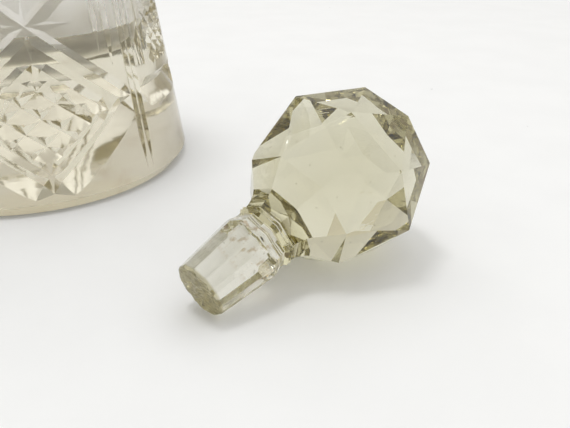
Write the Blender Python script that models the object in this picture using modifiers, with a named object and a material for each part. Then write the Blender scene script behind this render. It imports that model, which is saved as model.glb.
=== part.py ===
"""Cut-glass perfume bottle standing up, with its ball stopper lying beside it.

Metres, +Z up. The origin is the centre of the bottle's flat base, on the surface that both pieces stand on.
Profiles and cuts are written in millimetres and scaled by MM.
"""

from math import atan2, cos, hypot, pi, radians, sin, tan

import bmesh
import bpy
from mathutils import Matrix, Vector, noise

MM = 0.001
GLASS_IOR = 1.6

# Bottle, turned form: base, tapering body, shoulder, neck and lip
BASE_RADIUS = 37.8
FOOT_RADIUS = 39.7
FOOT_HEIGHT = 2.4
BODY_HEIGHT = 72.0
BODY_TOP_RADIUS = 30.4
SHOULDER_HEIGHT = 96.0
NECK_RADIUS = 12.4
LIP_RADIUS = 17.6
TOTAL_HEIGHT = 118.0
WALL = 7.6
CAVITY_FLOOR = 28.0
TURN_STEPS = 60

# Cut pattern: three wide panels with a star over a lozenge, three narrow ribbed panels between them
PANELS = 3
FRONT_PANEL_AZIMUTH = radians(-65.3)
WIDE_HALF_ANGLE = 36.5
LOZENGE_HALF_ANGLE = 34.0
LOZENGE_LOW = 4.6
LOZENGE_MIDDLE = 22.2
STAR_HEIGHT = 39.6
HOBNAIL_ROWS = 4
HOBNAIL_HALF_ANGLE = 23.0
MITRE_HALF_ANGLE = radians(58)
HAND_SLIP = 0.3  # how far hand-cut rays miss the star's exact centre, in degrees or mm

# Stopper, measured along its axis from the end of the plug
STOPPER_SIDES = 8
PLUG_END_RADIUS = 5.26
PLUG_TOP_RADIUS = 6.55
PLUG_LENGTH = 12.8
PLUG_RIM = 0.5
PLUG_SIDES = 12
PLUG_TURN = radians(8)
SEATED_DEPTH = 11.3
PLUG_CONE_TOP = 16.0
COLLAR_PROFILE = ((5.95, 15.2), (6.5, 15.8), (6.3, 16.1), (6.55, 16.45), (6.2, 16.9))
NECK_FLARE_BULGE = 0.3
SHOULDER_FLARE = ((5.95, 15.3), (6.0, 14.3), (6.3, 13.1), (6.85, 11.9), (7.7, 11.1), (10.0, 10.6))
NECK_SIDE_RING = (7.95, 20.3)
LOWER_RING = (12.45, 24.0)
GIRDLE_RING = (17.5, 36.0)
UPPER_RING = (13.3, 47.6)
TABLE_RING = (6.0, 51.6)
APEX_RETREATS = (1.2, 3.3, 1.6, 0.8, 0.0, 1.1, 2.4, 1.5)
CUT_SLIP = 0.05
CUT_LEAN = 0.006

# Where the stopper lies: the middle of its plug's end, and the way that its head points
STOPPER_END = (52.8, -75.1)
STOPPER_HEADING = radians(44.5)


def clear_scene():
    for old in list(bpy.data.objects):
        bpy.data.objects.remove(old, do_unlink=True)


def new_collection(name):
    made = bpy.data.collections.new(name)
    bpy.context.scene.collection.children.link(made)
    return made


def glass(name, colour, roughness):
    material = bpy.data.materials.new(name)
    material.use_nodes = True
    shader = material.node_tree.nodes["Principled BSDF"]
    shader.inputs["Base Color"].default_value = colour
    shader.inputs["Roughness"].default_value = roughness
    shader.inputs["Metallic"].default_value = 0.0
    shader.inputs["IOR"].default_value = GLASS_IOR
    shader.inputs["Transmission Weight"].default_value = 1.0
    return material


def object_from(name, mesh_maker, collection):
    """An object whose mesh mesh_maker(bm) fills."""
    bm = bmesh.new()
    mesh_maker(bm)
    bmesh.ops.recalc_face_normals(bm, faces=bm.faces)
    mesh = bpy.data.meshes.new(name)
    bm.to_mesh(mesh)
    bm.free()
    made = bpy.data.objects.new(name, mesh)
    collection.objects.link(made)
    return made


def turned(name, profile, steps, collection):
    """A solid of revolution. The profile is (radius, height) points, up the inside and down the outside."""
    mesh = bpy.data.meshes.new(name)
    points = [(radius * MM, 0.0, height * MM) for radius, height in profile]
    edges = [(i, i + 1) for i in range(len(points) - 1)]
    mesh.from_pydata(points, edges, [])
    made = bpy.data.objects.new(name, mesh)
    collection.objects.link(made)
    screw = made.modifiers.new("Turn", "SCREW")
    screw.steps = steps
    screw.render_steps = steps
    screw.use_merge_vertices = True
    screw.merge_threshold = 0.00001
    screw.use_smooth_shade = False
    return made


def combine(target, other, operation):
    """Cuts other out of target, or joins it on."""
    other.hide_render = True
    other.display_type = "WIRE"
    modifier = target.modifiers.new(other.name, "BOOLEAN")
    modifier.operation = operation
    modifier.solver = "EXACT"
    modifier.object = other


def wall_radius(height):
    """Outer radius of the uncut body at this height."""
    share = (height - FOOT_HEIGHT) / (BODY_HEIGHT - FOOT_HEIGHT)
    return FOOT_RADIUS + (BODY_TOP_RADIUS - FOOT_RADIUS) * share


def bore_radius(depth):
    """Radius of the neck's bore this far below the lip: the plug's own taper, from where it seats."""
    taper = (PLUG_TOP_RADIUS - PLUG_END_RADIUS) / PLUG_LENGTH
    return PLUG_END_RADIUS + taper * (SEATED_DEPTH - depth)


def arc(start, end, bulge, count):
    """Points from start to end along a parabola that stands bulge off the straight line, to its right."""
    (r0, z0), (r1, z1) = start, end
    length = hypot(r1 - r0, z1 - z0)
    across = ((z1 - z0) / length, -(r1 - r0) / length)
    points = []
    for i in range(1, count):
        t = i / count
        lift = 4 * bulge * t * (1 - t)
        points.append((r0 + (r1 - r0) * t + across[0] * lift, z0 + (z1 - z0) * t + across[1] * lift))
    return points


def bottle_profile():
    bore_end = TOTAL_HEIGHT - 14.0
    inner_low = wall_radius(CAVITY_FLOOR) - WALL
    inner_top = BODY_TOP_RADIUS - WALL + 1.0
    inside = [(0.0, CAVITY_FLOOR), (inner_low - 12.0, CAVITY_FLOOR + 0.6)]
    inside += arc((inner_low - 12.0, CAVITY_FLOOR + 0.6), (inner_low, CAVITY_FLOOR + 8.0), 2.2, 4)
    inside += [(inner_low, CAVITY_FLOOR + 8.0), (inner_top, BODY_HEIGHT)]
    inside += arc((inner_top, BODY_HEIGHT), (bore_radius(14.0), bore_end), 5.0, 6)
    inside += [(bore_radius(14.0), bore_end), (bore_radius(0.0), TOTAL_HEIGHT - 0.6)]
    lip = [(bore_radius(0.0) + 0.8, TOTAL_HEIGHT), (LIP_RADIUS - 1.2, TOTAL_HEIGHT)]
    lip += [(LIP_RADIUS, TOTAL_HEIGHT - 1.2), (LIP_RADIUS, TOTAL_HEIGHT - 3.4)]
    lip += [(NECK_RADIUS + 0.6, TOTAL_HEIGHT - 7.5)]
    neck = [(NECK_RADIUS, TOTAL_HEIGHT - 10.0), (NECK_RADIUS, SHOULDER_HEIGHT + 3.0)]
    shoulder = arc((NECK_RADIUS, SHOULDER_HEIGHT + 3.0), (BODY_TOP_RADIUS, BODY_HEIGHT), -5.5, 8)
    body = [(BODY_TOP_RADIUS, BODY_HEIGHT)]
    foot = [(FOOT_RADIUS, FOOT_HEIGHT), (BASE_RADIUS, 0.0), (0.0, 0.0)]
    return inside + lip + neck + shoulder + body + foot


def on_wall(azimuth, height, lift=0.0):
    """A point on the body's wall. azimuth is in degrees from the front panel's middle, lift is outward."""
    angle = FRONT_PANEL_AZIMUTH + radians(azimuth)
    radius = wall_radius(height) + lift
    return Vector((radius * cos(angle), radius * sin(angle), height))


def add_mitre(bm, start, end, depth, fade=0.0, half_angle=MITRE_HALF_ANGLE):
    """Adds a V-shaped cutter along the wall from start to end, each (azimuth, height).

    fade is the share of its length over which each end rises out of the glass.
    """
    pieces = max(2, round(abs(end[0] - start[0]) / 6), round(abs(end[1] - start[1]) / 14))
    sections = []
    for i in range(pieces + 1):
        t = i / pieces
        azimuth = start[0] + (end[0] - start[0]) * t
        height = start[1] + (end[1] - start[1]) * t
        here = on_wall(azimuth, height)
        step = 0.01
        ahead = on_wall(azimuth + (end[0] - start[0]) * step, height + (end[1] - start[1]) * step)
        along = (ahead - here).normalized()
        angle = FRONT_PANEL_AZIMUTH + radians(azimuth)
        out = Vector((cos(angle), sin(angle), 0.0))
        side = along.cross(out).normalized()
        out = side.cross(along)
        near_end = min(t, 1 - t)
        cut_depth = depth * min(1.0, near_end / fade) if fade else depth
        rise = 1.0
        width = (cut_depth + rise) * tan(half_angle)
        corners = (here - out * cut_depth, here + out * rise + side * width, here + out * rise - side * width)
        sections.append([bm.verts.new(corner * MM) for corner in corners])
    for low, high in zip(sections, sections[1:]):
        for i in range(3):
            j = (i + 1) % 3
            bm.faces.new((low[i], low[j], high[j], high[i]))
    bm.faces.new(sections[0])
    bm.faces.new(reversed(sections[-1]))


def panel_azimuths():
    return [360.0 / PANELS * i for i in range(PANELS)]


def lozenge_mitres(bm, lean):
    """Every wide panel's long diagonal cuts that lean one way, from the lozenge through the star."""
    for middle in panel_azimuths():
        side = LOZENGE_HALF_ANGLE * lean
        rise = STAR_HEIGHT - LOZENGE_MIDDLE
        depth = 1.1 + 0.05 * lean
        add_mitre(bm, (middle + side, LOZENGE_MIDDLE), (middle - side, STAR_HEIGHT + rise), depth, 0.03)


def lozenge_foot_mitres(bm, lean):
    """The deep cuts, leaning one way, that edge the lower half of every lozenge."""
    for middle in panel_azimuths():
        side = LOZENGE_HALF_ANGLE * lean
        add_mitre(bm, (middle, LOZENGE_LOW), (middle + side, LOZENGE_MIDDLE), 2.0 + 0.07 * lean, 0.1)


def hobnail_mitres(bm, lean):
    """The close parallel cuts, leaning one way, that leave small pyramids in each lozenge."""
    half_height = HOBNAIL_HALF_ANGLE / LOZENGE_HALF_ANGLE * (STAR_HEIGHT - LOZENGE_MIDDLE)
    pitch = 2 * HOBNAIL_HALF_ANGLE / 360 * 2 * pi * wall_radius(LOZENGE_MIDDLE) / HOBNAIL_ROWS
    depth = pitch / 2 * sin(radians(36)) / tan(MITRE_HALF_ANGLE) * (0.92 - 0.04 * lean)
    for middle in panel_azimuths():
        centre = LOZENGE_MIDDLE - 1.6
        for row in range(HOBNAIL_ROWS + 1):
            share = row / HOBNAIL_ROWS
            start = (middle - HOBNAIL_HALF_ANGLE * (1 - share) * lean, centre - half_height * share)
            end = (middle + HOBNAIL_HALF_ANGLE * share * lean, centre + half_height * (1 - share))
            add_mitre(bm, start, end, depth, 0.04)


def star_and_ledge_mitres(bm):
    """The star's level rays, and the deep level cut over the foot of each narrow panel."""
    for middle in panel_azimuths():
        level = STAR_HEIGHT + HAND_SLIP
        add_mitre(bm, (middle - 16.0, level), (middle + 16.0, level), 0.8, 0.45)
        centre = middle + 180.0 / PANELS
        half = 180.0 / PANELS - WIDE_HALF_ANGLE - 1.5
        add_mitre(bm, (centre - half, LOZENGE_MIDDLE), (centre + half, LOZENGE_MIDDLE), 2.1, 0.12)


def upright_mitres(bm):
    """Upright cuts: the star's, the ribs beside it, and the two that edge each bar between panels."""
    for middle in panel_azimuths():
        add_mitre(bm, (middle + HAND_SLIP, 33.0), (middle + HAND_SLIP, 46.2), 0.8, 0.45)
        for side in (-1, 1):
            for azimuth, low, high in ((24.0, 33.0, 47.0), (28.5, 29.5, 50.0)):
                add_mitre(bm, (middle + side * azimuth, low), (middle + side * azimuth, high), 0.7, 0.2)
            for azimuth, low, depth in ((35.0, 4.0, 0.5), (38.0, 4.0, 0.5), (47.0, 30.0, 0.6)):
                add_mitre(bm, (middle + side * azimuth, low), (middle + side * azimuth, 70.0), depth, 0.05)


def flutes(bm):
    """Round upright flutes beside each bar: thin upright spindles sunk into the wall."""
    for middle in panel_azimuths():
        for side in (-1, 1):
            azimuth = middle + side * 42.4
            low, high = on_wall(azimuth, 28.0, 1.6), on_wall(azimuth, 70.0, 1.6)
            along = high - low
            turn = Vector((0, 0, 1)).rotation_difference(along).to_matrix().to_4x4()
            place = Matrix.Translation((low + high) / 2 * MM) @ turn
            bmesh.ops.create_cone(
                bm,
                cap_ends=True,
                segments=16,
                radius1=2.5 * MM,
                radius2=2.5 * MM,
                depth=along.length * MM,
                matrix=place,
            )


def build_bottle(parts, cutters, material):
    bottle = turned("bottle", bottle_profile(), TURN_STEPS, parts)
    bottle.data.materials.append(material)
    makers = {
        "cut_lozenge_left": lambda bm: lozenge_mitres(bm, -1),
        "cut_lozenge_right": lambda bm: lozenge_mitres(bm, 1),
        "cut_lozenge_foot_left": lambda bm: lozenge_foot_mitres(bm, -1),
        "cut_lozenge_foot_right": lambda bm: lozenge_foot_mitres(bm, 1),
        "cut_hobnail_left": lambda bm: hobnail_mitres(bm, -1),
        "cut_hobnail_right": lambda bm: hobnail_mitres(bm, 1),
        "cut_star_and_ledge": star_and_ledge_mitres,
        "cut_uprights": upright_mitres,
        "cut_flutes": flutes,
    }
    for name, maker in makers.items():
        combine(bottle, object_from(name, maker, cutters), "DIFFERENCE")
    return bottle


def ring_corner(ring, step):
    """The corner of a head ring that lies this many eighths of a turn round."""
    radius, height = ring
    angle = 2 * pi * step / STOPPER_SIDES
    return Vector((radius * cos(angle), radius * sin(angle), height))


def facet_plane(a, b, c):
    """(point, outward normal) of the plane through three points of the head."""
    middle = (a + b + c) / 3
    normal = (b - a).cross(c - a).normalized()
    inside = Vector((0.0, 0.0, GIRDLE_RING[1]))
    return middle, normal if normal.dot(middle - inside) > 0 else -normal


def true_planes():
    """The ball's cuts as a perfect hand would make them, all but its table and the neck's face."""
    planes = []
    for i in range(STOPPER_SIDES):
        low, next_low = ring_corner(LOWER_RING, i), ring_corner(LOWER_RING, i + 1)
        neck, next_neck = ring_corner(NECK_SIDE_RING, i), ring_corner(NECK_SIDE_RING, i + 1)
        before, after = ring_corner(GIRDLE_RING, i - 0.5), ring_corner(GIRDLE_RING, i + 0.5)
        high, next_high = ring_corner(UPPER_RING, i), ring_corner(UPPER_RING, i + 1)
        table, next_table = ring_corner(TABLE_RING, i - 0.5), ring_corner(TABLE_RING, i + 0.5)
        _, left = facet_plane(ring_corner(LOWER_RING, i - 1), low, before)
        _, right = facet_plane(low, next_low, after)
        ridge = left.cross(right).normalized()
        ridge *= 1 if ridge.z > 0 else -1
        planes.append(facet_plane(neck, next_neck, low))
        planes.append(facet_plane(low, next_low, after))
        planes.append(facet_plane(before, after, low + ridge * APEX_RETREATS[i]))
        planes.append(facet_plane(before, after, high))
        planes.append(facet_plane(high, next_high, after))
        planes.append(facet_plane(high, next_high, next_table))
        planes.append(facet_plane(high, table, next_table))
    return planes


def head_planes():
    """The cuts that make the ball, each set a little off true as a hand-held cut is."""
    planes = []
    for number, (point, normal) in enumerate(true_planes()):
        wander = noise.noise_vector(Vector((number * 1.7, 0.3, 0.9)))
        slip = CUT_SLIP * (wander.x - 1)
        planes.append((point + normal * slip, (normal + wander * CUT_LEAN).normalized()))
    planes.append((Vector((0, 0, TABLE_RING[1])), Vector((0, 0, 1))))
    planes.append((Vector((0, 0, NECK_SIDE_RING[1])), Vector((0, 0, -1))))
    return planes


def stopper_head(bm):
    """The ball: a block that is cut by one plane after another."""
    bmesh.ops.create_cube(bm, size=0.12)
    for point, normal in head_planes():
        everything = bm.verts[:] + bm.edges[:] + bm.faces[:]
        bmesh.ops.bisect_plane(
            bm,
            geom=everything,
            dist=1e-7,
            plane_co=point * MM,
            plane_no=normal,
            clear_outer=True,
        )
        rim = [edge for edge in bm.edges if edge.is_boundary]
        if rim:
            bmesh.ops.holes_fill(bm, edges=rim, sides=0)
    bmesh.ops.remove_doubles(bm, verts=bm.verts, dist=0.02 * MM)


def stopper_neck_profile():
    """Fluted neck and collar, down the outside, closed inside the head and inside the plug."""
    radius, height = NECK_SIDE_RING
    top = (radius - 0.05, height + 0.1)
    return [
        (0.0, height + 4.0),
        (radius - 1.2, height + 4.0),
        top,
        *arc(top, COLLAR_PROFILE[-1], NECK_FLARE_BULGE, 4),
        *reversed(COLLAR_PROFILE),
        (5.6, 15.0),
        (0.0, 15.0),
    ]


def shoulder_flare_profile():
    """The eight-sided flare under the collar. Where it meets the plug's cone, it scallops the shoulder."""
    wide = SHOULDER_FLARE[-1][0]
    return [(0.0, 15.4), (SHOULDER_FLARE[0][0], 15.4), *SHOULDER_FLARE, (wide, -1.0), (0.0, -1.0)]


def stopper_plug_profile():
    """Tapered plug, down the outside, run on up past its shoulder."""
    taper = (PLUG_TOP_RADIUS - PLUG_END_RADIUS) / PLUG_LENGTH
    return [
        (0.0, PLUG_CONE_TOP),
        (PLUG_END_RADIUS + taper * PLUG_CONE_TOP, PLUG_CONE_TOP),
        (PLUG_END_RADIUS + taper * PLUG_RIM, PLUG_RIM),
        (PLUG_END_RADIUS - PLUG_RIM * 0.6, 0.0),
        (0.0, 0.0),
    ]


def lying_transform():
    """Lays the stopper on its plug's rim and on the edge between two corners of its girdle."""
    girdle_flat = GIRDLE_RING[0] * cos(pi / STOPPER_SIDES)
    tilt = atan2(girdle_flat - PLUG_END_RADIUS, GIRDLE_RING[1] - PLUG_RIM)
    forward = Vector((cos(STOPPER_HEADING), sin(STOPPER_HEADING), 0.0))
    axis = forward * cos(tilt) + Vector((0.0, 0.0, sin(tilt)))
    top = Vector((0.0, 0.0, cos(tilt))) - forward * sin(tilt)
    height = PLUG_END_RADIUS * cos(tilt) - PLUG_RIM * sin(tilt)
    turn = Matrix((top, axis.cross(top), axis)).transposed().to_4x4()
    return Matrix.Translation(Vector((*STOPPER_END, height)) * MM) @ turn


def build_stopper(parts, cutters, material):
    stopper = object_from("stopper", stopper_head, parts)
    stopper.data.materials.append(material)
    neck = turned("join_neck", stopper_neck_profile(), STOPPER_SIDES, cutters)
    plug = turned("join_plug", stopper_plug_profile(), PLUG_SIDES, cutters)
    flare = turned("cut_flare", shoulder_flare_profile(), STOPPER_SIDES, cutters)
    plug.rotation_euler.z = PLUG_TURN
    combine(plug, flare, "INTERSECT")
    combine(stopper, neck, "UNION")
    combine(stopper, plug, "UNION")
    for helper in (neck, plug, flare):
        helper.parent = stopper
    stopper.matrix_world = lying_transform()
    return stopper


def main():
    clear_scene()
    parts = new_collection("perfume_bottle")
    cutters = new_collection("cutters")
    build_bottle(parts, cutters, glass("bottle_glass", (0.93, 0.91, 0.84, 1.0), 0.02))
    build_stopper(parts, cutters, glass("stopper_glass", (0.90, 0.87, 0.76, 1.0), 0.02))


main()
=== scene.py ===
"""Cut-glass perfume bottle, with its ball stopper lying in front of it on a pale surface.

Lengths are written in millimetres and scaled by MM. Heights on the stopper are measured along its axis from
the end of its plug. Azimuths on the bottle are in degrees from the middle of its front panel. The bottle's
foot and height and the stopper's place come from the CAD boxes.
"""

from math import atan2, cos, hypot, pi, radians, sin, tan

import bmesh
import bpy
import numpy as np
from mathutils import Matrix, Vector, noise


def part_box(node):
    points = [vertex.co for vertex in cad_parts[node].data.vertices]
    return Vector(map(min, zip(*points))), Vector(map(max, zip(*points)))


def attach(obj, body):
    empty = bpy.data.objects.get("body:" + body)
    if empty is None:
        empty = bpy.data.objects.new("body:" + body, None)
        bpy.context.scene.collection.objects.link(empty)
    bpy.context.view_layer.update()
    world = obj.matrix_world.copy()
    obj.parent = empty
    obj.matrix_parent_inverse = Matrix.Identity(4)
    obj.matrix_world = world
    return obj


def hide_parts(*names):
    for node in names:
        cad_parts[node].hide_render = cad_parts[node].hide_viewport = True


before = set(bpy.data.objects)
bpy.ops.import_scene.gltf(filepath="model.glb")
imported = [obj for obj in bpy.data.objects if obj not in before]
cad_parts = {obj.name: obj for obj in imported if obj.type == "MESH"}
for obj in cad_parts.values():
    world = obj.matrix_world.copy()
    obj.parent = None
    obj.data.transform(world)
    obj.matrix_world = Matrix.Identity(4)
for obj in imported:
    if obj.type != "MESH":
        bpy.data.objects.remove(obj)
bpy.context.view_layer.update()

MM = 0.001

# ---------------------------------------------------------------- camera
CAMERA_PLACE = (67.3, -166.0, 65.4)
CAMERA_DOWN = radians(26.8)
LENS = 41.05
SENSOR_WIDTH = 36.0

# ---------------------------------------------------------------- bottle
FOOT_RADIUS = round(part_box("bottle")[1][0] / MM, 3)
TOTAL_HEIGHT = round(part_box("bottle")[1][2] / MM, 3)
BASE_RADIUS = 37.8
FOOT_HEIGHT = 2.4
BODY_HEIGHT = 72.0
BODY_TOP_RADIUS = 30.4
SHOULDER_HEIGHT = 96.0
NECK_RADIUS = 12.4
LIP_RADIUS = 17.6
LIP_ROUNDING = 1.2
LIP_THICKNESS = 3.4
LIP_FLARE = 10.0
BORE_DEPTH = 14.0
WALL = 7.6
CAVITY_FLOOR = 28.0
CAVITY_ROUNDING = (12.0, 8.0)
TURN_STEPS = 180

PANELS = 3
FRONT_PANEL_AZIMUTH = radians(-65.3)
WIDE_HALF_ANGLE = 36.5
LOZENGE_HALF_ANGLE = 34.0
LOZENGE_LOW = 4.6
LOZENGE_MIDDLE = 22.2
STAR_HEIGHT = 39.6
HOBNAIL_ROWS = 4
HOBNAIL_HALF_ANGLE = 23.0
MITRE_HALF_ANGLE = radians(58)
MITRE_RISE = 1.0
LOZENGE_DEPTH = 1.1
LOZENGE_FOOT_DEPTH = 2.0
STAR_DEPTH = 0.8
STAR_HALF_WIDTH = 16.0
UPPER_HOBNAILS_ABOVE = 36.0
RIB_HALF_WIDTH = 10.0
RIB_ZONE = (28.0, 66.0)
RIB_SPACING = 4.0
RIB_DEPTH = 0.75
FLUTE_AZIMUTH = 42.4
FLUTE_ZONE = (28.0, 70.0)
FLUTE_RADIUS = 2.5
FLUTE_LIFT = 1.6
HAND_SLIP = 0.3
BOTTLE_SHARP_ANGLE = radians(12)

# ---------------------------------------------------------------- stopper
STOPPER_SIDES = 8
PLUG_END_RADIUS = 5.26
PLUG_TOP_RADIUS = 6.55
PLUG_LENGTH = 12.8
PLUG_RIM = 0.5
PLUG_SIDES = 12
PLUG_TURN = radians(8)
SEATED_DEPTH = 11.3
COLLAR_PROFILE = ((5.95, 15.2), (6.25, 15.5), (6.5, 15.8), (6.3, 16.1), (6.55, 16.45), (6.2, 16.9))
NECK_FLARE_BULGE = 0.3
PLUG_FLARE = ((5.95, 15.3), (6.0, 14.3), (6.3, 13.1), (6.85, 11.9), (7.7, 11.1), (10.0, 10.6))
NECK_SIDE_RING = (7.95, 20.3)
LOWER_RING = (12.45, 24.0)
GIRDLE_RING = (17.5, 36.0)
UPPER_RING = (13.3, 47.6)
TABLE_RING = (6.0, 51.6)
APEX_RETREATS = (1.2, 3.3, 1.6, 0.8, 0.0, 1.1, 2.4, 1.5)
CUT_SLIP = 0.05
CUT_LEAN = 0.006
# With this seed, the cuts slip as they do in the CAD's own solid.
CUT_SEED = 1794966435
HEAD_BLOCK = 120.0
GRINDER_HALF_WIDTH = 6.5
GRINDER_STEPS = 70
END_ROUGHNESS = 0.34
STOPPER_HEADING = radians(44.5)
STOPPER_SHARP_ANGLE = radians(7)
# The gap keeps the floor from lying in the same plane as the bottle's foot.
FLOOR_GAP = 0.05
FLOOR_RADIUS = 4000.0

# ---------------------------------------------------------------- light
ROOM_STRENGTH = 0.93
# The room's colours, each at a height from 0 at the horizon to 1 straight up.
ROOM_NEAR = (
    (0.0, (0.26, 0.20, 0.11)),
    (0.35, (0.50, 0.47, 0.42)),
    (0.7, (0.66, 0.66, 0.64)),
    (1.0, (1.1, 1.1, 1.1)),
)
ROOM_FAR = (
    (0.0, (0.80, 0.76, 0.66)),
    (0.35, (0.76, 0.74, 0.70)),
    (0.7, (1.50, 1.50, 1.50)),
    (1.0, (1.1, 1.1, 1.1)),
)
ROOM_BLEND = 0.5
SOFTBOX_PLACE = (-0.14, 0.0, 0.9)
SOFTBOX_TARGET = (0.06, -0.04, 0.0)
SOFTBOX_POWER = 1.7
SOFTBOX_SIZE = 0.2

# ---------------------------------------------------------------- glass and floor
WHITE = (1.0, 1.0, 1.0, 1.0)
GLASS_IOR = 1.6
MOST_BOUNCES = 32
GLOSSY_BOUNCES = 16
STOPPER_TINT = (0.5, 0.44, 0.01, 1.0)
STOPPER_DENSITY = 20.0
BOTTLE_TINT = (0.5, 0.4, 0.0, 1.0)
BOTTLE_DENSITY = 6.5
BROWN_BLOT_COLOUR = (0.50, 0.36, 0.22, 1.0)
SPECK_COLOUR = (0.35, 0.33, 0.28, 1.0)
DUST_COLOUR = (0.3, 0.3, 0.3, 1.0)
GROUND_COLOUR = (0.52, 0.48, 0.31, 1.0)
INNER_FILM_COLOUR = (0.86, 0.80, 0.70, 1.0)
FLOOR_COLOUR_LOW = (0.875, 0.88, 0.88, 1.0)
FLOOR_COLOUR_HIGH = (0.895, 0.90, 0.90, 1.0)


# ================================================================ small helpers
def link(made):
    bpy.context.scene.collection.objects.link(made)
    return made


def object_from(name, mesh_maker):
    """An object whose mesh mesh_maker(bm) fills."""
    bm = bmesh.new()
    mesh_maker(bm)
    bmesh.ops.recalc_face_normals(bm, faces=bm.faces)
    mesh = bpy.data.meshes.new(name)
    bm.to_mesh(mesh)
    bm.free()
    return link(bpy.data.objects.new(name, mesh))


def turned(name, profile, steps):
    """A solid of revolution. The profile is (radius, height) points, up the inside and down the outside."""
    mesh = bpy.data.meshes.new(name)
    points = [(radius * MM, 0.0, height * MM) for radius, height in profile]
    mesh.from_pydata(points, [(i, i + 1) for i in range(len(points) - 1)], [])
    made = link(bpy.data.objects.new(name, mesh))
    screw = made.modifiers.new("Turn", "SCREW")
    screw.steps = steps
    screw.render_steps = steps
    screw.use_merge_vertices = True
    screw.merge_threshold = 0.00001
    screw.use_smooth_shade = False
    return made


def applied(made):
    """Turns the object's modifiers into mesh."""
    bpy.context.view_layer.update()
    graph = bpy.context.evaluated_depsgraph_get()
    mesh = bpy.data.meshes.new_from_object(made.evaluated_get(graph))
    made.modifiers.clear()
    made.data = mesh
    return made


def combined(target, other, operation):
    """Cuts other out of target or joins it on, and removes other."""
    modifier = target.modifiers.new(other.name, "BOOLEAN")
    modifier.operation = operation
    modifier.solver = "EXACT"
    modifier.object = other
    applied(target)
    bpy.data.objects.remove(other, do_unlink=True)
    return target


# ================================================================ bottle
def wall_radius(height):
    """Outer radius of the uncut body at this height."""
    share = (height - FOOT_HEIGHT) / (BODY_HEIGHT - FOOT_HEIGHT)
    return FOOT_RADIUS + (BODY_TOP_RADIUS - FOOT_RADIUS) * share


def bore_radius(depth):
    """Radius of the neck's bore this far below the lip: the plug's own taper, from where it seats."""
    taper = (PLUG_TOP_RADIUS - PLUG_END_RADIUS) / PLUG_LENGTH
    return PLUG_END_RADIUS + taper * (SEATED_DEPTH - depth)


def arc(start, end, bulge, count):
    """Points between start and end on a parabola that stands bulge off the straight line, to its right."""
    (r0, z0), (r1, z1) = start, end
    length = hypot(r1 - r0, z1 - z0)
    across = ((z1 - z0) / length, -(r1 - r0) / length)
    points = []
    for i in range(1, count):
        t = i / count
        lift = 4 * bulge * t * (1 - t)
        points.append((r0 + (r1 - r0) * t + across[0] * lift, z0 + (z1 - z0) * t + across[1] * lift))
    return points


def bottle_profile():
    inner_low = wall_radius(CAVITY_FLOOR) - WALL
    inner_top = BODY_TOP_RADIUS - WALL + 1.0
    round_in, round_up = CAVITY_ROUNDING
    floor_edge = (inner_low - round_in, CAVITY_FLOOR + 0.6)
    wall_foot = (inner_low, CAVITY_FLOOR + round_up)
    bore_low = (bore_radius(BORE_DEPTH), TOTAL_HEIGHT - BORE_DEPTH)
    inside = [(0.0, CAVITY_FLOOR), floor_edge, *arc(floor_edge, wall_foot, 2.2, 14), wall_foot]
    inside += [(inner_top, BODY_HEIGHT), *arc((inner_top, BODY_HEIGHT), bore_low, 5.0, 16), bore_low]
    inside += [(bore_radius(0.0), TOTAL_HEIGHT - 0.6)]
    lip_inner = (LIP_RADIUS - LIP_ROUNDING, TOTAL_HEIGHT)
    lip_outer = (LIP_RADIUS, TOTAL_HEIGHT - LIP_ROUNDING)
    lip_under = (LIP_RADIUS, TOTAL_HEIGHT - LIP_THICKNESS)
    neck_top = (NECK_RADIUS, TOTAL_HEIGHT - LIP_FLARE)
    lip = [(bore_radius(0.0) + 0.8, TOTAL_HEIGHT), lip_inner, *arc(lip_inner, lip_outer, -0.3, 3)]
    lip += [lip_outer, lip_under, *arc(lip_under, neck_top, 0.8, 6)]
    neck_foot = (NECK_RADIUS, SHOULDER_HEIGHT + 3.0)
    shoulder = arc(neck_foot, (BODY_TOP_RADIUS, BODY_HEIGHT), -5.5, 16)
    body = [(wall_radius(height), height) for height in np.linspace(BODY_HEIGHT, FOOT_HEIGHT, 9)]
    foot = [(BASE_RADIUS, 0.0), (0.0, 0.0)]
    return inside + lip + [neck_top, neck_foot] + shoulder + body + foot


def on_wall(azimuth, height, lift=0.0):
    """A point on the body's wall. azimuth is in degrees from the front panel's middle, lift is outward."""
    angle = FRONT_PANEL_AZIMUTH + radians(azimuth)
    radius = wall_radius(height) + lift
    return Vector((radius * cos(angle), radius * sin(angle), height))


def add_mitre(bm, start, end, depth, fade=0.0, half_angle=MITRE_HALF_ANGLE):
    """Adds a V-shaped cutter along the wall from start to end, each (azimuth, height).

    fade is the share of its length over which each end rises out of the glass.
    """
    pieces = max(2, round(abs(end[0] - start[0]) / 3), round(abs(end[1] - start[1]) / 8))
    sections = []
    for i in range(pieces + 1):
        t = i / pieces
        azimuth = start[0] + (end[0] - start[0]) * t
        height = start[1] + (end[1] - start[1]) * t
        here = on_wall(azimuth, height)
        step = 0.01
        ahead = on_wall(azimuth + (end[0] - start[0]) * step, height + (end[1] - start[1]) * step)
        along = (ahead - here).normalized()
        angle = FRONT_PANEL_AZIMUTH + radians(azimuth)
        out = Vector((cos(angle), sin(angle), 0.0))
        side = along.cross(out).normalized()
        out = side.cross(along)
        near_end = min(t, 1 - t)
        cut_depth = depth * min(1.0, near_end / fade) if fade else depth
        width = (cut_depth + MITRE_RISE) * tan(half_angle)
        outer = here + out * MITRE_RISE
        corners = (here - out * cut_depth, outer + side * width, outer - side * width)
        sections.append([bm.verts.new(corner * MM) for corner in corners])
    for low, high in zip(sections, sections[1:]):
        for i in range(3):
            j = (i + 1) % 3
            bm.faces.new((low[i], low[j], high[j], high[i]))
    bm.faces.new(sections[0])
    bm.faces.new(reversed(sections[-1]))


def panel_azimuths():
    return [360.0 / PANELS * i for i in range(PANELS)]


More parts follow.
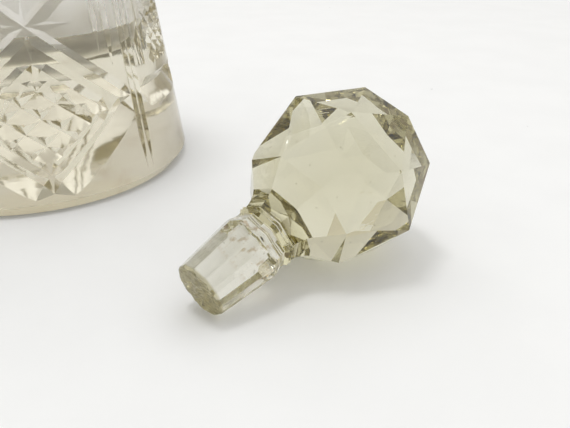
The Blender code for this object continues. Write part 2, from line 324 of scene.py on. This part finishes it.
# Crossing cuts that lean opposite ways differ a little in depth, so that their faces never coincide.
def lozenge_mitres(bm, lean):
    """Every wide panel's long diagonal cuts that lean one way, from the lozenge through the star."""
    for middle in panel_azimuths():
        side = LOZENGE_HALF_ANGLE * lean
        rise = STAR_HEIGHT - LOZENGE_MIDDLE
        depth = LOZENGE_DEPTH + 0.05 * lean
        add_mitre(bm, (middle + side, LOZENGE_MIDDLE), (middle - side, STAR_HEIGHT + rise), depth, 0.03)


def lozenge_foot_mitres(bm, lean):
    """The deep cuts, leaning one way, that edge the lower half of every lozenge."""
    for middle in panel_azimuths():
        side = LOZENGE_HALF_ANGLE * lean
        depth = LOZENGE_FOOT_DEPTH + 0.07 * lean
        add_mitre(bm, (middle, LOZENGE_LOW), (middle + side, LOZENGE_MIDDLE), depth, 0.1)


def hobnail_mitres(bm, lean):
    """The close parallel cuts, leaning one way, that leave small pyramids in each lozenge."""
    half_height = HOBNAIL_HALF_ANGLE / LOZENGE_HALF_ANGLE * (STAR_HEIGHT - LOZENGE_MIDDLE)
    pitch = 2 * HOBNAIL_HALF_ANGLE / 360 * 2 * pi * wall_radius(LOZENGE_MIDDLE) / HOBNAIL_ROWS
    depth = pitch / 2 * sin(radians(36)) / tan(MITRE_HALF_ANGLE) * (0.92 - 0.04 * lean)
    for middle in panel_azimuths():
        for centre in (LOZENGE_MIDDLE - 1.6, LOZENGE_MIDDLE + UPPER_HOBNAILS_ABOVE):
            for row in range(HOBNAIL_ROWS + 1):
                share = row / HOBNAIL_ROWS
                start = (middle - HOBNAIL_HALF_ANGLE * (1 - share) * lean, centre - half_height * share)
                end = (middle + HOBNAIL_HALF_ANGLE * share * lean, centre + half_height * (1 - share))
                add_mitre(bm, start, end, depth, 0.04)


def ribbed_mitres(bm, lean):
    """Crossed cuts on the narrow panels, which leave a column of small diamonds."""
    low, high = RIB_ZONE
    rise = 2 * RIB_HALF_WIDTH / 360 * 2 * pi * wall_radius(40.0)
    for middle in panel_azimuths():
        centre = middle + 180.0 / PANELS
        for i in range(int((high - low + rise) / RIB_SPACING) + 1):
            base = low - rise + RIB_SPACING * i
            first = max(0.0, (low - base) / rise)
            last = min(1.0, (high - base) / rise)
            if last - first > 0.25:
                start = (centre + lean * RIB_HALF_WIDTH * (2 * first - 1), base + rise * first)
                end = (centre + lean * RIB_HALF_WIDTH * (2 * last - 1), base + rise * last)
                add_mitre(bm, start, end, RIB_DEPTH + 0.03 * lean)


def star_and_ledge_mitres(bm):
    """The star's level rays, and the deep level cut over the foot of each narrow panel."""
    for middle in panel_azimuths():
        level = STAR_HEIGHT + HAND_SLIP
        ends = ((middle - STAR_HALF_WIDTH, level), (middle + STAR_HALF_WIDTH, level))
        add_mitre(bm, *ends, STAR_DEPTH, 0.45)
        centre = middle + 180.0 / PANELS
        half = 180.0 / PANELS - WIDE_HALF_ANGLE - 1.5
        add_mitre(bm, (centre - half, LOZENGE_MIDDLE), (centre + half, LOZENGE_MIDDLE), 2.1, 0.12)


def upright_mitres(bm):
    """Upright cuts: the star's, the ribs beside it, and the two that edge each bar between panels."""
    for middle in panel_azimuths():
        add_mitre(bm, (middle + HAND_SLIP, 33.0), (middle + HAND_SLIP, 46.2), STAR_DEPTH, 0.45)
        for side in (-1, 1):
            for azimuth, low, high in ((24.0, 33.0, 47.0), (28.5, 29.5, 50.0)):
                add_mitre(bm, (middle + side * azimuth, low), (middle + side * azimuth, high), 0.7, 0.2)
            for azimuth, low, depth in ((35.0, 4.0, 0.5), (38.0, 4.0, 0.5), (47.0, 30.0, 0.6)):
                add_mitre(bm, (middle + side * azimuth, low), (middle + side * azimuth, 70.0), depth, 0.05)


def flutes(bm):
    """Round upright flutes beside each bar."""
    for middle in panel_azimuths():
        for side in (-1, 1):
            azimuth = middle + side * FLUTE_AZIMUTH
            low, high = [on_wall(azimuth, height, FLUTE_LIFT) for height in FLUTE_ZONE]
            along = high - low
            turn = Vector((0, 0, 1)).rotation_difference(along).to_matrix().to_4x4()
            bmesh.ops.create_cone(
                bm,
                cap_ends=True,
                segments=32,
                radius1=FLUTE_RADIUS * MM,
                radius2=FLUTE_RADIUS * MM,
                depth=along.length * MM,
                matrix=Matrix.Translation((low + high) / 2 * MM) @ turn,
            )


def build_bottle():
    bottle = applied(turned("cut_glass_bottle", bottle_profile(), TURN_STEPS))
    makers = {
        "lozenge_left": lambda bm: lozenge_mitres(bm, -1),
        "lozenge_right": lambda bm: lozenge_mitres(bm, 1),
        "lozenge_foot_left": lambda bm: lozenge_foot_mitres(bm, -1),
        "lozenge_foot_right": lambda bm: lozenge_foot_mitres(bm, 1),
        "hobnail_left": lambda bm: hobnail_mitres(bm, -1),
        "hobnail_right": lambda bm: hobnail_mitres(bm, 1),
        "ribs_left": lambda bm: ribbed_mitres(bm, -1),
        "ribs_right": lambda bm: ribbed_mitres(bm, 1),
        "star_and_ledge": star_and_ledge_mitres,
        "uprights": upright_mitres,
        "flutes": flutes,
    }
    for name, maker in makers.items():
        combined(bottle, object_from(name, maker), "DIFFERENCE")
    bottle.data.shade_smooth()
    bottle.data.set_sharp_from_angle(angle=BOTTLE_SHARP_ANGLE)
    return bottle


# ================================================================ stopper
def ring_corner(ring, step):
    """The corner of a head ring that lies this many eighths of a turn round."""
    radius, height = ring
    angle = 2 * pi * step / STOPPER_SIDES
    return Vector((radius * cos(angle), radius * sin(angle), height))


def facet_plane(a, b, c):
    """(point, outward normal) of the plane through three points of the head."""
    middle = (a + b + c) / 3
    normal = (b - a).cross(c - a).normalized()
    inside = Vector((0.0, 0.0, GIRDLE_RING[1]))
    return middle, normal if normal.dot(middle - inside) > 0 else -normal


def head_planes():
    """The cuts that make the ball, each set a little off true as a hand-held cut is."""
    planes = []
    for i in range(STOPPER_SIDES):
        low, next_low = ring_corner(LOWER_RING, i), ring_corner(LOWER_RING, i + 1)
        neck, next_neck = ring_corner(NECK_SIDE_RING, i), ring_corner(NECK_SIDE_RING, i + 1)
        before, after = ring_corner(GIRDLE_RING, i - 0.5), ring_corner(GIRDLE_RING, i + 0.5)
        high, next_high = ring_corner(UPPER_RING, i), ring_corner(UPPER_RING, i + 1)
        table, next_table = ring_corner(TABLE_RING, i - 0.5), ring_corner(TABLE_RING, i + 0.5)
        planes.append(facet_plane(neck, next_neck, low))
        planes.append(facet_plane(low, next_low, after))
        _, left = facet_plane(ring_corner(LOWER_RING, i - 1), low, before)
        _, right = facet_plane(low, next_low, after)
        ridge = left.cross(right).normalized()
        ridge *= 1 if ridge.z > 0 else -1
        planes.append(facet_plane(before, after, low + ridge * APEX_RETREATS[i]))
        planes.append(facet_plane(before, after, high))
        planes.append(facet_plane(high, next_high, after))
        planes.append(facet_plane(high, next_high, next_table))
        planes.append(facet_plane(high, table, next_table))
    noise.seed_set(CUT_SEED)
    slipped = []
    for number, (point, normal) in enumerate(planes):
        wander = noise.noise_vector(Vector((number * 1.7, 0.3, 0.9)))
        tilted = (normal + wander * CUT_LEAN).normalized()
        slipped.append((point + normal * wander.x * CUT_SLIP - normal * CUT_SLIP, tilted))
    slipped.append((Vector((0, 0, TABLE_RING[1])), Vector((0, 0, 1))))
    slipped.append((Vector((0, 0, NECK_SIDE_RING[1])), Vector((0, 0, -1))))
    return slipped


def stopper_head(bm):
    """The ball: a block that is cut by one plane after another."""
    bmesh.ops.create_cube(bm, size=HEAD_BLOCK * MM)
    for point, normal in head_planes():
        bmesh.ops.bisect_plane(
            bm,
            geom=bm.verts[:] + bm.edges[:] + bm.faces[:],
            dist=1e-7,
            plane_co=point * MM,
            plane_no=normal,
            clear_outer=True,
        )
        rim = [edge for edge in bm.edges if edge.is_boundary]
        if rim:
            bmesh.ops.holes_fill(bm, edges=rim, sides=0)
    bmesh.ops.remove_doubles(bm, verts=bm.verts, dist=0.02 * MM)
    bmesh.ops.recalc_face_normals(bm, faces=bm.faces)


def neck_profile():
    """Fluted neck and collar, down the outside, closed inside the head and inside the plug."""
    radius, height = NECK_SIDE_RING
    collar_top = COLLAR_PROFILE[-1]
    flare = arc((radius - 0.05, height + 0.1), collar_top, NECK_FLARE_BULGE, 12)
    return [
        (0.0, height + 4.0),
        (radius - 1.2, height + 4.0),
        (radius - 0.05, height + 0.1),
        *flare,
        *reversed(COLLAR_PROFILE),
        (5.6, 15.0),
        (0.0, 15.0),
    ]


def flare_profile():
    """The eight-sided flare under the collar. The plug's own cone cuts it, which scallops the shoulder."""
    points = [(0.0, 15.4), (PLUG_FLARE[0][0], 15.4)]
    for start, end in zip(PLUG_FLARE, PLUG_FLARE[1:]):
        points += [start, *arc(start, end, 0.04, 3)]
    return points + [PLUG_FLARE[-1], (PLUG_FLARE[-1][0], -1.0), (0.0, -1.0)]


def plug_profile():
    """Tapered plug, down the outside, run on up past its shoulder."""
    taper = (PLUG_TOP_RADIUS - PLUG_END_RADIUS) / PLUG_LENGTH
    top = 16.0
    return [
        (0.0, top),
        (PLUG_END_RADIUS + taper * top, top),
        (PLUG_END_RADIUS + taper * PLUG_RIM, PLUG_RIM),
        (PLUG_END_RADIUS - PLUG_RIM * 0.6, 0.0),
        (0.0, 0.0),
    ]


def end_grinder(bm):
    """The rough plate that the plug's end is broken and ground against."""
    steps = GRINDER_STEPS
    half = GRINDER_HALF_WIDTH
    grid = []
    for i in range(steps + 1):
        row = []
        for j in range(steps + 1):
            x = -half + 2 * half * i / steps
            y = -half + 2 * half * j / steps
            rough = noise.fractal(Vector((x * 0.9, y * 0.9, 3.1)), 0.7, 2.2, 4)
            scratch = noise.noise(Vector((x * 2.6 + y * 0.5, y * 0.5 - x * 0.1, 7.7)))
            lift = END_ROUGHNESS * (0.5 + 0.45 * rough + 0.3 * scratch)
            rim = max(0.0, hypot(x, y) - 4.4)
            lift += rim * 0.3 * max(0.0, noise.noise(Vector((x * 0.8, y * 0.8, 12.0))) + 0.2)
            row.append(bm.verts.new((x * MM, y * MM, max(0.02, lift) * MM)))
        grid.append(row)
    for i in range(steps):
        for j in range(steps):
            bm.faces.new((grid[i][j], grid[i + 1][j], grid[i + 1][j + 1], grid[i][j + 1]))
    rim = [edge for edge in bm.edges if edge.is_boundary]
    lower = bmesh.ops.extrude_edge_only(bm, edges=rim)["geom"]
    for vertex in [item for item in lower if isinstance(item, bmesh.types.BMVert)]:
        vertex.co.z = -2.0 * MM
    bmesh.ops.holes_fill(bm, edges=[edge for edge in bm.edges if edge.is_boundary], sides=0)


def lying_matrix(stopper):
    """Lays the stopper on its plug's rim and on an edge of its girdle, in the place of its CAD box."""
    girdle_flat = GIRDLE_RING[0] * cos(pi / STOPPER_SIDES)
    tilt = atan2(girdle_flat - PLUG_END_RADIUS, GIRDLE_RING[1] - PLUG_RIM)
    forward = Vector((cos(STOPPER_HEADING), sin(STOPPER_HEADING), 0.0))
    axis = forward * cos(tilt) + Vector((0.0, 0.0, sin(tilt)))
    top = Vector((0.0, 0.0, cos(tilt))) - forward * sin(tilt)
    turn = Matrix((top, axis.cross(top), axis)).transposed()
    turned_points = [turn @ vertex.co for vertex in stopper.data.vertices]
    box_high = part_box("stopper")[1]
    x = box_high[0] - max(point.x for point in turned_points)
    y = box_high[1] - max(point.y for point in turned_points)
    height = PLUG_END_RADIUS * cos(tilt) - PLUG_RIM * sin(tilt)
    return Matrix.Translation((x, y, height * MM)) @ turn.to_4x4()


def build_stopper():
    """The lying stopper, and the matrix that lays it down."""
    plug = applied(turned("plug", plug_profile(), PLUG_SIDES))
    plug.data.transform(Matrix.Rotation(PLUG_TURN, 4, "Z"))
    combined(plug, applied(turned("flare", flare_profile(), STOPPER_SIDES)), "INTERSECT")
    combined(plug, object_from("grinder", end_grinder), "DIFFERENCE")
    stopper = object_from("ball_stopper", stopper_head)
    combined(stopper, applied(turned("neck", neck_profile(), STOPPER_SIDES)), "UNION")
    combined(stopper, plug, "UNION")
    stopper.data.shade_smooth()
    stopper.data.set_sharp_from_angle(angle=STOPPER_SHARP_ANGLE)
    laid = lying_matrix(stopper)
    stopper.data.transform(laid)
    return stopper, laid


# ================================================================ materials
class Nodes:
    """Short ways to add and join a material's nodes."""

    def __init__(self, name, laid=None):
        """laid is the matrix that laid the object down, if it is painted along its own axes."""
        self.material = bpy.data.materials.new(name)
        self.material.use_nodes = True
        self.tree = self.material.node_tree
        self.shader = self.tree.nodes["Principled BSDF"]
        self.place = self.tree.nodes.new("ShaderNodeTexCoord").outputs["Object"]
        if laid is not None:
            undo = self.tree.nodes.new("ShaderNodeMapping")
            undo.vector_type = "TEXTURE"
            undo.inputs["Location"].default_value = laid.to_translation()
            undo.inputs["Rotation"].default_value = laid.to_euler()
            self.join(self.place, undo.inputs["Vector"])
            self.place = undo.outputs["Vector"]

    def join(self, value, socket):
        if isinstance(value, bpy.types.NodeSocket):
            self.tree.links.new(value, socket)
        else:
            socket.default_value = value

    def math(self, operation, *values, clamp=False):
        node = self.tree.nodes.new("ShaderNodeMath")
        node.operation = operation
        node.use_clamp = clamp
        for value, socket in zip(values, node.inputs):
            self.join(value, socket)
        return node.outputs["Value"]

    def noise(self, scale, detail=2.0, stretch=(1.0, 1.0, 1.0)):
        """Noise of scale bumps per metre, stretched along the axes."""
        mapping = self.tree.nodes.new("ShaderNodeMapping")
        mapping.inputs["Scale"].default_value = stretch
        self.join(self.place, mapping.inputs["Vector"])
        node = self.tree.nodes.new("ShaderNodeTexNoise")
        node.inputs["Scale"].default_value = scale
        node.inputs["Detail"].default_value = detail
        self.join(mapping.outputs["Vector"], node.inputs["Vector"])
        return node.outputs["Fac"]

    def fade(self, value, start, end):
        """0 where value is at start, 1 where it's at end, and clamped outside."""
        node = self.tree.nodes.new("ShaderNodeMapRange")
        node.interpolation_type = "SMOOTHSTEP"
        node.inputs["From Min"].default_value = start
        node.inputs["From Max"].default_value = end
        self.join(value, node.inputs["Value"])
        return node.outputs["Result"]

    def mix(self, factor, first, second):
        node = self.tree.nodes.new("ShaderNodeMix")
        node.data_type = "RGBA"
        self.join(factor, node.inputs[0])
        self.join(first, node.inputs[6])
        self.join(second, node.inputs[7])
        return node.outputs[2]

    def axes(self):
        split = self.tree.nodes.new("ShaderNodeSeparateXYZ")
        self.join(self.place, split.inputs["Vector"])
        return split.outputs["X"], split.outputs["Y"], split.outputs["Z"]

    def bump(self, height, strength, distance, normal=None):
        node = self.tree.nodes.new("ShaderNodeBump")
        self.join(strength, node.inputs["Strength"])
        node.inputs["Distance"].default_value = distance
        self.join(height, node.inputs["Height"])
        if normal is not None:
            self.join(normal, node.inputs["Normal"])
        return node.outputs["Normal"]

    def glass(self, absorb_colour, absorb_density):
        self.shader.inputs["IOR"].default_value = GLASS_IOR
        self.shader.inputs["Transmission Weight"].default_value = 1.0
        volume = self.tree.nodes.new("ShaderNodeVolumeAbsorption")
        volume.inputs["Color"].default_value = absorb_colour
        volume.inputs["Density"].default_value = absorb_density
        self.join(volume.outputs["Volume"], self.tree.nodes["Material Output"].inputs["Volume"])


def stopper_material(laid):
    """Straw-tinged lead glass: finely scratched facets, brown blots darkening the shoulder and a ground
    plug end.
    """
    made = Nodes("stopper_glass", laid)
    made.glass(STOPPER_TINT, STOPPER_DENSITY)
    z = made.axes()[2]
    at_end = made.fade(z, 1.0 * MM, 0.5 * MM)
    on_plug = made.fade(z, 14.2 * MM, 12.5 * MM)
    above = made.fade(z, 8.0 * MM, 10.5 * MM)
    near_shoulder = made.math("MULTIPLY", above, made.fade(z, 15.0 * MM, 13.5 * MM))
    blots = made.fade(made.noise(420.0, 4.0), 0.56, 0.66)
    specks = made.fade(made.noise(1900.0, 2.0), 0.66, 0.72)
    # Brown blots and specks darken the band round the plug's shoulder.
    brown_blots = made.math("MULTIPLY", near_shoulder, made.math("MAXIMUM", blots, specks), clamp=True)
    head_specks = made.math("MULTIPLY", made.fade(made.noise(1300.0, 0.0), 0.83, 0.87), 0.6)
    clear = made.mix(brown_blots, WHITE, BROWN_BLOT_COLOUR)
    clear = made.mix(head_specks, clear, SPECK_COLOUR)
    made.join(made.mix(at_end, clear, GROUND_COLOUR), made.shader.inputs["Base Color"])
    haze = made.math("MULTIPLY", on_plug, made.math("MULTIPLY", made.noise(300.0), 0.09))
    scratches = made.fade(made.noise(1500.0, 1.0, (1.0, 0.12, 0.3)), 0.66, 0.74)
    haze = made.math("ADD", haze, made.math("MULTIPLY", scratches, 0.12))
    haze = made.math("ADD", haze, made.math("MULTIPLY", at_end, 0.14))
    made.join(haze, made.shader.inputs["Roughness"])
    waves = made.bump(made.noise(140.0), 0.05, 0.0002)
    plug_streaks = made.noise(700.0, 2.0, (1.0, 1.0, 0.12))
    streaks = made.bump(plug_streaks, made.math("MULTIPLY", on_plug, 0.3), 0.0001, waves)
    made.join(made.bump(scratches, 0.08, 0.00005, streaks), made.shader.inputs["Normal"])
    return made.material


def bottle_material():
    """The bottle's glass: paler for its thickness, hazed low inside, with brown blots that darken it
    towards the foot.
    """
    made = Nodes("bottle_glass")
    made.glass(BOTTLE_TINT, BOTTLE_DENSITY)
    x, y, z = made.axes()
    squares = made.math("ADD", made.math("MULTIPLY", x, x), made.math("MULTIPLY", y, y))
    radius = made.math("SQRT", squares)
    lean = (FOOT_RADIUS - BODY_TOP_RADIUS) / (BODY_HEIGHT - FOOT_HEIGHT)
    cone_foot = (FOOT_RADIUS + lean * FOOT_HEIGHT) * MM
    depth = made.math("SUBTRACT", cone_foot, made.math("MULTIPLY_ADD", z, lean, radius))
    inside = made.math("MULTIPLY", made.fade(depth, 4.5 * MM, 5.5 * MM), made.fade(z, 26.0 * MM, 27.5 * MM))
    inside = made.math("MULTIPLY", inside, made.fade(z, 70.0 * MM, 46.0 * MM))
    low = made.fade(z, 14.0 * MM, 6.0 * MM)
    blots = made.fade(made.noise(110.0, 5.0), 0.52, 0.68)
    # Brown blots darken the glass, more towards the foot.
    brown_blots = made.math("MULTIPLY", made.math("MULTIPLY", low, blots), 0.5)
    film = made.math("MULTIPLY", made.math("MULTIPLY", inside, made.noise(45.0, 4.0)), 0.08)
    tint = made.mix(brown_blots, WHITE, BROWN_BLOT_COLOUR)
    made.join(made.mix(film, tint, INNER_FILM_COLOUR), made.shader.inputs["Base Color"])
    haze = made.math("MULTIPLY", inside, 0.25)
    rough = made.math("ADD", haze, made.math("MULTIPLY", made.noise(60.0), 0.14))
    made.join(rough, made.shader.inputs["Roughness"])
    made.join(made.bump(made.noise(120.0), 0.25, 0.0003), made.shader.inputs["Normal"])
    return made.material


def floor_material():
    """Pale matt board with a faint mottle and a few specks of dust."""
    made = Nodes("pale_surface")
    mottle = made.fade(made.noise(45.0, 6.0), 0.3, 0.7)
    board = made.mix(mottle, FLOOR_COLOUR_LOW, FLOOR_COLOUR_HIGH)
    dust = made.math("MULTIPLY", made.fade(made.noise(420.0, 1.0), 0.80, 0.84), 0.5)
    made.join(made.mix(dust, board, DUST_COLOUR), made.shader.inputs["Base Color"])
    made.shader.inputs["Roughness"].default_value = 0.6
    made.join(made.bump(made.noise(700.0, 3.0), 0.12, 0.0002), made.shader.inputs["Normal"])
    return made.material


# ================================================================ surroundings
def build_floor():
    def disc(bm):
        bmesh.ops.create_circle(bm, cap_ends=True, segments=96, radius=FLOOR_RADIUS * MM)

    floor = object_from("floor", disc)
    floor.location.z = -FLOOR_GAP * MM
    floor.data.materials.append(floor_material())


def ramp_of(tree, stops):
    """A colour ramp node with these (position, colour) stops."""
    ramp = tree.nodes.new("ShaderNodeValToRGB")
    ramp.color_ramp.interpolation = "EASE"
    elements = ramp.color_ramp.elements
    for _ in stops[2:]:
        elements.new(0.5)
    for element, (position, colour) in zip(elements, stops):
        element.position = position
    for element, (position, colour) in zip(elements, stops):
        element.color = (*colour, 1.0)
    return ramp


def build_world():
    """A pale room: darker and warmer towards the horizon, most of all on the viewer's side."""
    world = bpy.data.worlds.new("studio")
    bpy.context.scene.world = world
    world.use_nodes = True
    tree = world.node_tree
    background = tree.nodes["Background"]
    place = tree.nodes.new("ShaderNodeTexCoord")
    split = tree.nodes.new("ShaderNodeSeparateXYZ")
    tree.links.new(place.outputs["Generated"], split.inputs["Vector"])
    near = ramp_of(tree, ROOM_NEAR)
    far = ramp_of(tree, ROOM_FAR)
    tree.links.new(split.outputs["Z"], near.inputs["Fac"])
    tree.links.new(split.outputs["Z"], far.inputs["Fac"])
    side = tree.nodes.new("ShaderNodeMapRange")
    side.inputs["From Min"].default_value = -ROOM_BLEND
    side.inputs["From Max"].default_value = ROOM_BLEND
    tree.links.new(split.outputs["Y"], side.inputs["Value"])
    mix = tree.nodes.new("ShaderNodeMix")
    mix.data_type = "RGBA"
    tree.links.new(side.outputs["Result"], mix.inputs["Factor"])
    tree.links.new(near.outputs["Color"], mix.inputs[6])
    tree.links.new(far.outputs["Color"], mix.inputs[7])
    tree.links.new(mix.outputs[2], background.inputs["Color"])
    background.inputs["Strength"].default_value = ROOM_STRENGTH


def build_softbox():
    light = bpy.data.lights.new("softbox", "AREA")
    light.shape = "SQUARE"
    light.size = SOFTBOX_SIZE
    light.energy = SOFTBOX_POWER
    lamp = link(bpy.data.objects.new("softbox", light))
    lamp.location = SOFTBOX_PLACE
    direction = Vector(SOFTBOX_TARGET) - Vector(SOFTBOX_PLACE)
    lamp.rotation_euler = direction.to_track_quat("-Z", "Y").to_euler()


def build_camera():
    data = bpy.data.cameras.new("camera")
    data.sensor_width = SENSOR_WIDTH
    data.lens = LENS
    data.clip_start = 0.005
    camera = link(bpy.data.objects.new("camera", data))
    camera.location = Vector(CAMERA_PLACE) * MM
    camera.rotation_euler = (pi / 2 - CAMERA_DOWN, 0.0, 0.0)
    bpy.context.scene.camera = camera


def main():
    build_camera()
    build_floor()
    build_world()
    build_softbox()
    bottle = build_bottle()
    bottle.data.materials.clear()
    bottle.data.materials.append(bottle_material())
    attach(bottle, "bottle_body")
    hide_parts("bottle")
    stopper, laid = build_stopper()
    stopper.data.materials.clear()
    stopper.data.materials.append(stopper_material(laid))
    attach(stopper, "stopper_body")
    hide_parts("stopper")
    scene = bpy.context.scene
    scene.view_settings.view_transform = "Standard"
    scene.cycles.max_bounces = MOST_BOUNCES
    scene.cycles.transmission_bounces = MOST_BOUNCES
    scene.cycles.glossy_bounces = GLOSSY_BOUNCES


main()
